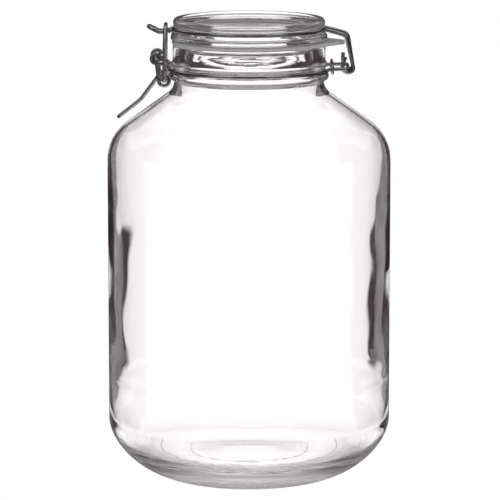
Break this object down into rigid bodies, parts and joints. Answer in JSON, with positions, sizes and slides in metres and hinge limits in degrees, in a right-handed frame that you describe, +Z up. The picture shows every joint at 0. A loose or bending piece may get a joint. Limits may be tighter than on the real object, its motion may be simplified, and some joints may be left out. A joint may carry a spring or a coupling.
{
  "type": "clip top jar",
  "caption": "Large round clear glass storage jar with a glass lid, a rubber seal with a pull tab, and a hinged steel wire clip closure.",
  "frame": {"origin": "on the jar's axis, in the plane of the surface that it stands on", "axes": "+Z up along the jar's axis, +X towards the lid's hinge, -X towards the clasp"},
  "size_m": [0.177, 0.177, 0.289],
  "materials": {
    "clear_glass": "clear, polished",
    "steel_wire": "bright drawn wire",
    "pale_rubber": "milky, slightly translucent"
  },
  "bodies": {
    "jar": {"jar_glass": "clear_glass", "neck_wire": "steel_wire", "clip_ring": "steel_wire"},
    "lid": {"lid_glass": "clear_glass", "lid_wire": "steel_wire", "gasket": "pale_rubber"},
    "lever": {"lever": "steel_wire"},
    "link": {"link": "steel_wire"}
  },
  "joints": [
    {"name": "lid_hinge", "type": "hinge", "parent": "jar", "child": "lid", "pos_m": [0.0615, 0, 0.2585], "axis": [0, 1, 0], "range_deg": [0, 160]},
    {"name": "lever_pivot", "type": "hinge", "parent": "jar", "child": "lever", "pos_m": [-0.0575, 0, 0.2648], "axis": [0, 1, 0], "range_deg": [0, 120]},
    {"name": "link_pivot", "type": "hinge", "parent": "lever", "child": "link", "pos_m": [-0.0526, 0, 0.2513], "axis": [0, 1, 0], "range_deg": [-95, 0]}
  ],
  "couplings": [
    {"joint": "link_pivot", "follows": "lever_pivot", "ratio": -0.76}
  ]
}
